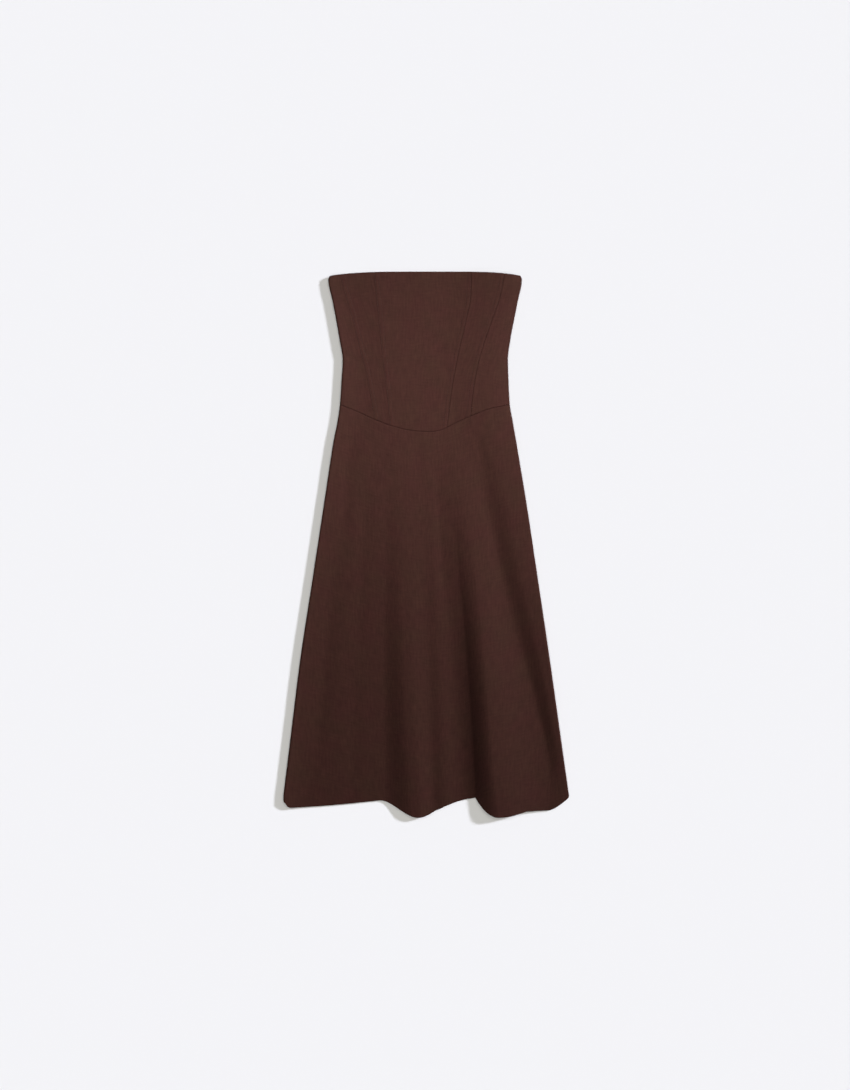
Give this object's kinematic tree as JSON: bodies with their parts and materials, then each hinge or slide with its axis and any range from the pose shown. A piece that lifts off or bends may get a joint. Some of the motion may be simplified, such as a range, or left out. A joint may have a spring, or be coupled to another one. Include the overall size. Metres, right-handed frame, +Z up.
{
  "type": "strapless dress",
  "caption": "Strapless dress with a boned, panelled bodice, a dipped waist seam and an A-line midi skirt, laid flat on its back.",
  "frame": {"origin": "on the surface that the dress lies on, under the middle of its outline", "axes": "+Y towards the neckline, +X to the right for someone who looks down on the front, +Z up from the surface"},
  "size_m": [0.571, 1.091, 0.0221],
  "materials": {
    "brown_cloth": "matt dark brown twill with a faint sheen",
    "zip_tape": "matt dark brown tape",
    "zip_slider": "painted dark brown"
  },
  "bodies": {
    "root": {"bodice_centre_front": "brown_cloth", "bodice_side_front_left": "brown_cloth", "bodice_side_front_right": "brown_cloth", "bodice_underarm_left": "brown_cloth", "bodice_underarm_right": "brown_cloth", "bodice_back_left": "brown_cloth", "bodice_back_right": "brown_cloth", "skirt_front": "brown_cloth", "skirt_back_left": "brown_cloth", "skirt_back_right": "brown_cloth", "zip_tape": "zip_tape", "zip_slider": "zip_slider"}
  },
  "joints": []
}
